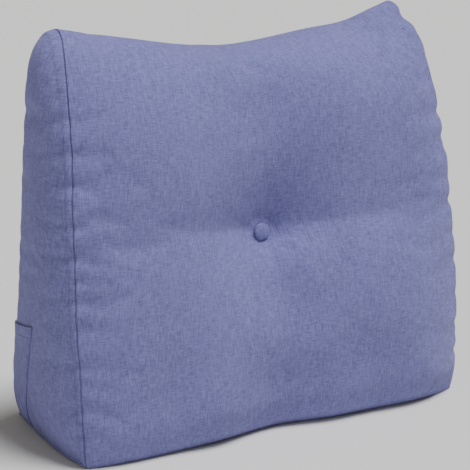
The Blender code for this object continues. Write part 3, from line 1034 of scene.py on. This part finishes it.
class StitchMaker:
    """Sets machine stitches along a line with Geometry Nodes."""

    def __init__(self, size: StitchSize, thread: bpy.types.Material) -> None:
        """Keep the stitch's size and build the node tree once.

        Args:
            size: The stitch and its spacing.
            thread: The thread's material.
        """
        self.size = size
        self.thread = thread
        self.tree = self._tree()

    def _tree(self) -> bpy.types.NodeTree:
        """Build the tree: line, even points, one stitch on each, realised, with its thread.

        Returns:
            The node tree.
        """
        tree = bpy.data.node_groups.new("stitch_row", "GeometryNodeTree")
        for name, way, kind in (("Geometry", "INPUT", "Geometry"), ("Pitch", "INPUT", "Float"),
                                ("Length", "INPUT", "Float"), ("Thickness", "INPUT", "Float"),
                                ("Thread", "INPUT", "Material"),
                                ("Geometry", "OUTPUT", "Geometry")):
            tree.interface.new_socket(name, in_out=way, socket_type="NodeSocket" + kind)
        node = {key: tree.nodes.new(kind) for key, kind in {
            "start": "NodeGroupInput", "curve": "GeometryNodeMeshToCurve",
            "even": "GeometryNodeResampleCurve", "ball": "GeometryNodeMeshUVSphere",
            "size": "ShaderNodeCombineXYZ", "tangent": "GeometryNodeInputTangent",
            "turn": "FunctionNodeAlignRotationToVector", "place": "GeometryNodeInstanceOnPoints",
            "real": "GeometryNodeRealizeInstances", "smooth": "GeometryNodeSetShadeSmooth",
            "paint": "GeometryNodeSetMaterial", "end": "NodeGroupOutput"}.items()}
        node["even"].mode = "LENGTH"
        node["turn"].axis = "Z"
        for name, value in (("Segments", 8), ("Rings", 6), ("Radius", 0.5)):
            node["ball"].inputs[name].default_value = value
        for source, output, target, entry in (
                ("start", "Geometry", "curve", "Mesh"), ("curve", "Curve", "even", "Curve"),
                ("start", "Pitch", "even", "Length"), ("start", "Thickness", "size", "X"),
                ("start", "Thickness", "size", "Y"), ("start", "Length", "size", "Z"),
                ("tangent", "Tangent", "turn", "Vector"), ("even", "Curve", "place", "Points"),
                ("ball", "Mesh", "place", "Instance"), ("turn", "Rotation", "place", "Rotation"),
                ("size", "Vector", "place", "Scale"), ("place", "Instances", "real", "Geometry"),
                ("real", "Geometry", "smooth", "Geometry"),
                ("smooth", "Geometry", "paint", "Geometry"),
                ("start", "Thread", "paint", "Material"), ("paint", "Geometry", "end", "Geometry")):
            tree.links.new(node[source].outputs[output], node[target].inputs[entry])
        return tree

    def row(self, name: str, lines: Sequence[tuple[np.ndarray, bool]]) -> bpy.types.Object:
        """Return stitches along the lines as one plain mesh piece.

        Args:
            name: The piece's name.
            lines: Points of each line and whether it closes on itself.

        Returns:
            The stitches.
        """
        points = np.vstack([line for line, _ in lines])
        edges, first = [], 0
        for line, closed in lines:
            n = len(line)
            edges += [(first + k, first + (k + 1) % n) for k in range(n if closed else n - 1)]
            first += n
        mesh = bpy.data.meshes.new(name + "_line")
        mesh.from_pydata(points.tolist(), edges, [])
        guide = bpy.data.objects.new(name + "_line", mesh)
        bpy.context.scene.collection.objects.link(guide)
        modifier = guide.modifiers.new("stitches", "NODES")
        modifier.node_group = self.tree
        values = {"Pitch": self.size.pitch, "Length": self.size.length,
                  "Thickness": self.size.thickness, "Thread": self.thread}
        for item in self.tree.interface.items_tree:
            if item.item_type == "SOCKET" and item.in_out == "INPUT" and item.name in values:
                modifier[item.identifier] = values[item.name]
        guide.update_tag()
        bpy.context.view_layer.update()
        graph = bpy.context.evaluated_depsgraph_get()
        plain = bpy.data.meshes.new_from_object(guide.evaluated_get(graph))
        plain.name = name
        bpy.data.objects.remove(guide, do_unlink=True)
        piece = bpy.data.objects.new(name, plain)
        bpy.context.scene.collection.objects.link(piece)
        LOG.info("%s: %d faces", name, len(plain.polygons))
        return piece


@dataclass(frozen=True)
class SlackCloth:
    """Cloth simulation of the cover: cut a little long, it puckers between its held lines."""

    form: TuftedWedge
    quality: int = 6
    weight: float = 0.25
    stretch: float = 14.0
    shear: float = 5.0
    bend: float = 0.4
    extra: float = 0.022
    pressure: float = 4.0
    steps: int = 20
    most: float = 0.0013
    calm: float = 0.35
    spread: float = 0.0055
    evening: int = 60
    held_at_button: float = 0.019
    held_at_floor: float = 0.004
    taut_band: tuple[float, float] = (0.10, 0.23)
    neighbours: int = 12

    def movement(self, points: np.ndarray) -> np.ndarray:
        """Return how far the slack cloth stands from its even form.

        Args:
            points: Places on the finely meshed cover.

        Returns:
            One offset for each place, none on the seams, under the button or on the floor.
        """
        cover = CoverMesh(self.form, SLACK, sewn=False)
        held = self._held(cover)
        cloth = make_object("slack_cloth", cover.points, cover.faces)
        cloth.vertex_groups.new(name="held").add(np.flatnonzero(held).tolist(), 1.0, "REPLACE")
        soft = cloth.modifiers.new("cloth", "CLOTH").settings
        soft.quality = self.quality
        soft.mass = self.weight
        soft.tension_stiffness = soft.compression_stiffness = self.stretch
        soft.shear_stiffness = self.shear
        soft.bending_stiffness = self.bend
        soft.use_pressure = True
        soft.uniform_pressure_force = self.pressure
        soft.vertex_group_mass = "held"
        soft.shrink_min = -self.extra
        soft.effector_weights.gravity = 0.0
        for step in range(1, self.steps + 1):
            bpy.context.scene.frame_set(step)
        graph = bpy.context.evaluated_depsgraph_get()
        result = np.empty(3 * len(cover.points), dtype=np.float32)
        cloth.evaluated_get(graph).data.vertices.foreach_get("co", result)
        bpy.context.scene.frame_set(1)
        bpy.data.objects.remove(cloth, do_unlink=True)
        moved = result.reshape(-1, 3) - cover.points
        moved = moved - self._even(moved, cover, held)
        size = np.linalg.norm(moved, axis=1, keepdims=True)
        moved *= self.most * np.tanh(size / self.most) / np.maximum(size, 1e-9)
        taut = ease(*self.taut_band, np.abs(cover.points[:, :1]))
        moved *= self.calm + (1.0 - self.calm) * taut
        LOG.info("slack cloth: offsets up to %.1f mm", 1000.0 * float(size.max()))
        return self._spread(points, cover.points, moved)

    def _held(self, cover: CoverMesh) -> np.ndarray:
        """Choose the points that are held: seams, base and the button's seat.

        Args:
            cover: The slack cover.

        Returns:
            One true or false value for each point.
        """
        place, _ = self.form.seat()
        n = cover.rows
        held = np.linalg.norm(cover.points - place, axis=1) < self.held_at_button
        held |= cover.points[:, 2] < self.held_at_floor
        held[:n] = True
        held[(len(cover.columns) - 1) * n:len(cover.columns) * n] = True
        return held

    def _even(self, moved: np.ndarray, cover: CoverMesh, held: np.ndarray) -> np.ndarray:
        """Find the broad part of the movement, which belongs to the form and not to the slack.

        Args:
            moved: How far each point moved.
            cover: The slack cover.
            held: Which points are held.

        Returns:
            The broad movement of each point.
        """
        quads = np.array(cover.faces)
        edges = np.vstack([quads[:, [k, (k + 1) % 4]] for k in range(4)])
        first, second = edges.T
        count = len(moved)
        ways = np.bincount(first, minlength=count) + np.bincount(second, minlength=count)
        broad = moved.copy()
        for _ in range(self.evening):
            total = np.stack([np.bincount(first, broad[second, axis], count)
                              + np.bincount(second, broad[first, axis], count)
                              for axis in range(3)], axis=1)
            broad = np.where(held[:, None], broad, 0.5 * broad + 0.5 * total / ways[:, None])
        return broad

    def _spread(self, points: np.ndarray, sources: np.ndarray, moved: np.ndarray) -> np.ndarray:
        """Carry offsets over to other points nearby.

        Args:
            points: Where the offsets are wanted.
            sources: Where the offsets are known.
            moved: The known offsets.

        Returns:
            One offset for each of the points.
        """
        tree = KDTree(len(sources))
        for k, source in enumerate(sources):
            tree.insert(source, k)
        tree.balance()
        found = [tree.find_n(point, self.neighbours) for point in points]
        index = np.array([[hit[1] for hit in hits] for hits in found])
        away = np.array([[hit[2] for hit in hits] for hits in found])
        weight = bell(away, self.spread) + 1e-9
        return (moved[index] * weight[..., None]).sum(axis=1) / weight.sum(axis=1)[:, None]


@dataclass
class Cushion:
    """The stuffed cover, slackened by a cloth simulation and then sewn."""

    finish: LinenFinish
    form: TuftedWedge = TuftedWedge()
    thread_lift: float = 0.0002

    def build(self) -> bpy.types.Object:
        """Make the stuffed cover.

        Returns:
            The cushion as one closed piece.
        """
        self.cover = CoverMesh(self.form, SEWN, sewn=True)
        self.cover.points += SlackCloth(self.form).movement(self.cover.points)
        self.cover.points[:, 2] = np.maximum(self.cover.points[:, 2], 0.0)
        piece = make_object("cushion", self.cover.points, self.cover.faces, self.cover.uvs)
        piece.data.materials.append(self.finish.build())
        return piece

    def stitch_lines(self) -> list[tuple[np.ndarray, bool]]:
        """Lay a closed line of topstitching round each end panel.

        Returns:
            Points of each line, and that it closes on itself.
        """
        return [(self.cover.points[rows] + np.array([side * self.thread_lift, 0.0, 0.0]), True)
                for side, rows in self.cover.stitch_rows.items()]


class Rim(NamedTuple):
    """One ring of the button's outline, as shares of its radius and of its height."""

    reach: float
    rise: float


BUTTON_OUTLINE = (
    Rim(0.30, 0.0), Rim(0.62, 0.0), Rim(0.86, 0.02), Rim(0.955, 0.12), Rim(0.995, 0.27),
    Rim(1.0, 0.42), Rim(0.98, 0.56), Rim(0.93, 0.68), Rim(0.85, 0.775), Rim(0.72, 0.855),
    Rim(0.55, 0.92), Rim(0.36, 0.965), Rim(0.18, 0.99),
)


@dataclass
class CoveredButton:
    """Button covered in the cushion's cloth: low dome, tight rolled rim, cloth gathered behind."""

    finish: LinenFinish
    form: TuftedWedge
    radius: float = 0.0108
    height: float = 0.0058
    gap: float = 0.0004
    sides: int = 96
    tucks: float = 17.0
    tuck: float = 0.012
    tuck_from: float = 0.8
    stretch: float = 1.1
    cloth_start: float = 3.0

    def build(self) -> bpy.types.Object:
        """Make the button.

        Returns:
            The button as one closed piece.
        """
        r, h = self.radius, self.height
        outline = np.array(BUTTON_OUTLINE) * (r, h)
        angle = np.linspace(0.0, 2.0 * np.pi, self.sides, endpoint=False)
        place, across, upward, facing = self.form.button_seat()
        points, cloth = [place + facing * self.gap], [(0.0, 0.0)]
        for ring, rise in outline:
            depth = self.tuck * np.sin(self.tucks * angle)
            tuck = 1.0 + depth * (1.0 - rise / h) * (ring > self.tuck_from * r)
            for a, t in zip(angle, tuck):
                flat = ring * t * (np.cos(a) * across + np.sin(a) * upward)
                points.append(place + facing * (self.gap + rise) + flat)
                cloth.append((ring * np.cos(a), ring * np.sin(a)))
        points.append(place + facing * (self.gap + h))
        cloth.append((0.0, 0.0))
        n, last = self.sides, len(points) - 1
        faces = []
        for k in range(n):
            m = (k + 1) % n
            faces.append((0, 1 + m, 1 + k))
            for ring in range(len(outline) - 1):
                a, b = 1 + ring * n, 1 + (ring + 1) * n
                faces.append((a + k, a + m, b + m, b + k))
            final = 1 + (len(outline) - 1) * n
            faces.append((final + k, final + m, last))
        uvs = [(cloth[v][0] * self.stretch + self.cloth_start, cloth[v][1] * self.stretch)
               for f in faces for v in f]
        piece = make_object("covered_button", np.array(points), faces, uvs)
        piece.data.materials.append(self.finish.build())
        return piece


@dataclass(frozen=True)
class PocketRelief:
    """The small relief of the pocket's cloth, its hem and its stitching."""

    mouth_band: tuple[float, float] = (0.45, 1.0)
    belly_power: float = 0.8
    pillow: float = 0.0005
    pillow_band: tuple[float, float] = (0.0015, 0.009)
    pillow_loss: float = 0.4
    rumple: float = 0.0005
    rumple_band: tuple[float, float] = (0.002, 0.012)
    waves: tuple[Wave, ...] = (Wave(17.0, 9.0, 0.3), Wave(-9.0, 21.0, 2.0), Wave(26.0, -6.0, 4.0))
    line_width: float = 0.0009
    hem_line_width: float = 0.0010
    press: float = 0.00045
    press_top: float = 0.995
    hem_step: float = 0.0012
    edge_share: float = 0.30
    edge_round: float = 0.0011


@dataclass
class PatchPocket:
    """Flat pocket on the left end panel: pressed edges, a hemmed mouth that stands off a little."""

    finish: LinenFinish
    cover: CoverMesh
    cushion: bpy.types.Object
    mouth_front: float = 0.465
    foot_front: float = 0.66
    back: float = 0.93
    foot_z: float = 0.012
    mouth_z: float = 0.160
    mouth_drop: float = 0.018
    cloth: float = 0.0012
    gap: float = 0.0004
    hem: float = 0.018
    stitch_inset: float = 0.0032
    hem_extra: float = 0.0005
    hem_stitch: float = 0.0022
    slack: float = 0.0003
    ray_from: float = -0.6
    smoothing: int = 2
    cloth_start: float = 5.0
    face_shift: float = 0.0016
    wide: int = 60
    tall: int = 96
    relief: PocketRelief = PocketRelief()

    def build(self) -> tuple[bpy.types.Object, list[tuple[np.ndarray, bool]], tuple[float, float]]:
        """Make the pocket.

        Returns:
            The pocket, its stitch lines and its flat size.
        """
        fine = self.relief
        up = np.linspace(0.0, 1.0, self.tall + 1)[:, None]
        share = np.linspace(0.0, 1.0, self.wide + 1)[None, :]
        base = self._laid(up[:, 0], share[0])
        normal = np.cross(np.gradient(base, axis=1), np.gradient(base, axis=0))
        normal /= np.linalg.norm(normal, axis=-1, keepdims=True)
        normal = np.where(normal[..., :1] > 0.0, -normal, normal)
        widths = np.linalg.norm(np.diff(base, axis=1), axis=-1).sum(axis=1)[:, None]
        width = float(widths.mean())
        length = float(np.linalg.norm(np.diff(base, axis=0), axis=-1).sum(axis=0).mean())
        opening = ease(*fine.mouth_band, up)
        belly = 4.0 * share * (1.0 - share)
        lift = self.slack * opening * belly ** fine.belly_power
        from_mouth = (1.0 - up) * length
        edge = np.minimum(np.minimum(share, 1.0 - share) * widths, up * length)
        pillow = fine.pillow * ease(*fine.pillow_band, edge) * (1.0 - fine.pillow_loss * opening)
        rumple = fine.rumple * ripple(base[..., 1], base[..., 2], fine.waves)
        line = bell(edge - self.stitch_inset, fine.line_width)
        hem_line = bell(from_mouth - self.hem + self.hem_stitch, fine.hem_line_width)
        press = fine.press * np.maximum(line * (up < fine.press_top),
                                        hem_line * np.ones_like(share))
        lower = base + normal * (self.gap + lift)[..., None]
        hem = self.hem_extra * ease(self.hem + fine.hem_step, self.hem, from_mouth)
        thick = self.cloth + hem + pillow + rumple * ease(*fine.rumple_band, edge) - press
        rounded = ease(0.0, fine.edge_round, np.minimum(edge, from_mouth))
        thick = thick * (fine.edge_share + (1.0 - fine.edge_share) * rounded)
        upper = lower + normal * thick[..., None]
        faces, shell = self._faces(), lower[..., 0].size
        points = np.vstack([lower.reshape(-1, 3), upper.reshape(-1, 3)])
        flat = base.reshape(-1, 3)
        uvs = [(flat[v % shell, 1] + self.cloth_start,
                flat[v % shell, 2] + self.face_shift * (v >= shell)) for f in faces for v in f]
        piece = make_object("side_pocket_cloth", points, faces, uvs)
        piece.data.materials.append(self.finish.build())
        lines = self._stitch_lines(upper, widths[:, 0], length)
        return piece, lines, (width, length)

    def _laid(self, ups: np.ndarray, shares: np.ndarray) -> np.ndarray:
        """Lay the back of the cloth on the end panel.

        Args:
            ups: Rows, as shares of the way from foot to mouth.
            shares: Columns, as shares of the way from front edge to rear edge.

        Returns:
            Its points, indexed by row and column.
        """
        tree = BVHTree.FromPolygons([tuple(v.co) for v in self.cushion.data.vertices],
                                    [tuple(f.vertices) for f in self.cushion.data.polygons])
        base = np.zeros((len(ups), len(shares), 3))
        for i, up in enumerate(ups):
            front = self.foot_front + (self.mouth_front - self.foot_front) * up
            for j, share in enumerate(shares):
                z = self.foot_z + (self.mouth_z - self.mouth_drop * share - self.foot_z) * up
                y_front, y_back = self.cover.seams_at(Side.POCKET.value, z)
                y = float(y_front + (front + (self.back - front) * share) * (y_back - y_front))
                hit = tree.ray_cast(Vector((self.ray_from, y, z)), Vector((1.0, 0.0, 0.0)))[0]
                base[i, j] = (hit.x, y, z)
        for _ in range(self.smoothing):
            base[1:-1, 1:-1, 0] = (base[:-2, 1:-1, 0] + base[2:, 1:-1, 0] + base[1:-1, :-2, 0]
                                   + base[1:-1, 2:, 0]) / 4.0
        return base

    def _faces(self) -> list[tuple[int, ...]]:
        """Close the cloth: its back, its face and the rim between them.

        Returns:
            Vertex indices of each face, the back's points first.
        """
        w, t = self.wide + 1, self.tall + 1
        shell = w * t
        faces = []
        for i in range(self.tall):
            for j in range(self.wide):
                a, b, c, d = i * w + j, i * w + j + 1, (i + 1) * w + j + 1, (i + 1) * w + j
                faces.append((a, b, c, d))
                faces.append((shell + a, shell + d, shell + c, shell + b))
        rim = ([(0, j) for j in range(w)] + [(i, w - 1) for i in range(1, t)]
               + [(t - 1, j) for j in range(w - 2, -1, -1)] + [(i, 0) for i in range(t - 2, 0, -1)])
        for (i, j), (m, n) in zip(rim, rim[1:] + rim[:1]):
            a, b = i * w + j, m * w + n
            faces.append((b, a, shell + a, shell + b))
        return faces

    def _stitch_lines(self, top: np.ndarray, widths: np.ndarray,
                      length: float) -> list[tuple[np.ndarray, bool]]:
        """Lay the topstitching: one line round the sewn edges and one under the hem.

        Args:
            top: Points of the cloth's face.
            widths: Width of the cloth in each row.
            length: Length of the cloth.

        Returns:
            Points of each line, and whether it closes on itself.
        """
        rows = np.arange(len(widths))

        def inset(up: float) -> float:
            """Return the stitch's distance from a side edge as a share of the width there."""
            return self.stitch_inset / float(np.interp(up * self.tall, rows, widths))

        def at(share: float, up: float) -> np.ndarray:
            """Find a point on the cloth's face.

            Args:
                share: Share of the way from front edge to rear edge.
                up: Share of the way from foot to mouth.

            Returns:
                The point.
            """
            i = min(up * self.tall, self.tall - 1e-6)
            j = min(share * self.wide, self.wide - 1e-6)
            a, b, s, t = int(i), int(j), i - int(i), j - int(j)
            return ((1 - s) * ((1 - t) * top[a, b] + t * top[a, b + 1])
                    + s * ((1 - t) * top[a + 1, b] + t * top[a + 1, b + 1]))

        low, high, upright, level_count = self.stitch_inset / length, 0.985, 60, 40
        down = [at(inset(v), v) for v in np.linspace(high, low, upright)]
        along = [at(u, low) for u in np.linspace(inset(low), 1.0 - inset(low), level_count)[1:-1]]
        rise = [at(1.0 - inset(v), v) for v in np.linspace(low, high, upright)]
        level = 1.0 - (self.hem - self.hem_stitch) / length
        ends = 2 * inset(level)
        hem = [at(u, level) for u in np.linspace(ends, 1.0 - ends, level_count)]
        return [(np.array(down + along + rise), False), (np.array(hem), False)]


@dataclass
class Studio:
    """Pale floor, soft light and the camera at the photograph's angle."""

    yaw: float = math.radians(30.1)
    pitch: float = math.radians(15.8)
    distance: float = 2.19
    target: tuple[float, float, float] = (-0.0085, 0.0, 0.231)
    lens: float = 130.2
    sensor: float = 36.0
    floor_reach: float = 9.0
    floor_drop: float = 0.0002
    floor_colour: tuple[float, float, float] = (0.755, 0.745, 0.71)
    floor_roughness: float = 0.9
    sun_toward: tuple[float, float, float] = (0.70, -0.60, 2.75)
    sun_spread: float = math.radians(22.0)
    sun_strength: float = 3.9
    sun_tint: tuple[float, float, float] = (0.93, 0.94, 1.0)
    fill_place: tuple[float, float, float] = (-2.6, -1.5, 2.0)
    fill_aim: tuple[float, float, float] = (0.0, 0.0, 0.25)
    fill_size: float = 1.8
    fill_power: float = 9.5
    fill_tint: tuple[float, float, float] = (1.0, 0.97, 0.88)
    surround: tuple[float, float, float] = (1.0, 0.975, 0.87)
    surround_strength: float = 0.19

    def _place(self, name: str, data: bpy.types.ID, facing: Vector) -> bpy.types.Object:
        """Put a camera or a lamp in the scene.

        Args:
            name: The object's name.
            data: The camera or the lamp.
            facing: The direction that it faces.

        Returns:
            The linked object, still at the origin.
        """
        thing = bpy.data.objects.new(name, data)
        bpy.context.scene.collection.objects.link(thing)
        thing.rotation_euler = facing.to_track_quat("-Z", "Y").to_euler()
        return thing

    def camera(self) -> None:
        """Place the camera."""
        data = bpy.data.cameras.new("camera")
        data.sensor_width = self.sensor
        data.lens = self.lens
        forward = Vector((math.sin(self.yaw) * math.cos(self.pitch),
                          math.cos(self.yaw) * math.cos(self.pitch), -math.sin(self.pitch)))
        thing = self._place("camera", data, forward)
        thing.location = Vector(self.target) - forward * self.distance
        bpy.context.scene.camera = thing

    def floor(self) -> None:
        """Lay the floor."""
        size = self.floor_reach
        points = np.array([(-size, -size, 0), (size, -size, 0), (size, size, 0), (-size, size, 0)],
                          float)
        thing = make_object("floor", points - np.array([0, 0, self.floor_drop]), [(0, 1, 2, 3)])
        paint = Surface("pale_floor")
        paint.fill(paint.shader, {"Base Color": (*self.floor_colour, 1.0),
                                  "Roughness": self.floor_roughness})
        thing.data.materials.append(paint.material)

    def sun(self) -> None:
        """Light everything evenly from the upper right with a broad distant lamp."""
        data = bpy.data.lights.new("key", "SUN")
        data.angle = self.sun_spread
        data.energy = self.sun_strength
        data.color = self.sun_tint
        self._place("key", data, -Vector(self.sun_toward))

    def fill(self) -> None:
        """Hang one square soft box on the left that faces the cushion."""
        data = bpy.data.lights.new("fill", "AREA")
        data.shape = "SQUARE"
        data.size = self.fill_size
        data.energy = self.fill_power
        data.color = self.fill_tint
        place = Vector(self.fill_place)
        self._place("fill", data, Vector(self.fill_aim) - place).location = place

    def lights(self) -> None:
        """Light the cushion softly from the upper right, with a bright surround."""
        world = bpy.data.worlds.new("surround")
        world.use_nodes = True
        back = world.node_tree.nodes["Background"]
        back.inputs["Color"].default_value = (*self.surround, 1.0)
        back.inputs["Strength"].default_value = self.surround_strength
        bpy.context.scene.world = world
        self.sun()
        self.fill()


def show(piece: bpy.types.Object) -> bpy.types.Object:
    """Fix a finished piece to the cushion.

    Args:
        piece: The piece.

    Returns:
        The same piece.
    """
    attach(piece, BODY)
    LOG.info("%s: %d faces", piece.name, len(piece.data.polygons))
    return piece


def main() -> None:
    """Build the pieces in order."""
    logging.basicConfig(level=logging.INFO)
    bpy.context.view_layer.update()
    linen = LinenFinish("heathered_linen", light=(0.238, 0.236, 0.560), dark=(0.127, 0.127, 0.308))
    thread = ThreadFinish("matching_thread", light=(0.230, 0.250, 0.470),
                          dark=(0.120, 0.130, 0.280)).build()

    cushion = Cushion(linen)
    body = show(cushion.build())
    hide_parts("cushion_body")

    button = show(CoveredButton(linen, cushion.form).build())
    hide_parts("button")

    pocket, lines, flat = PatchPocket(linen, cushion.cover, body).build()
    show(pocket)
    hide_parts("side_pocket")

    stitches = StitchMaker(StitchSize(), thread)
    show(stitches.row("seam_topstitch", cushion.stitch_lines()))
    show(stitches.row("pocket_topstitch", lines))

    studio = Studio()
    studio.camera()
    studio.floor()
    studio.lights()


if __name__ == "__main__":
    main()
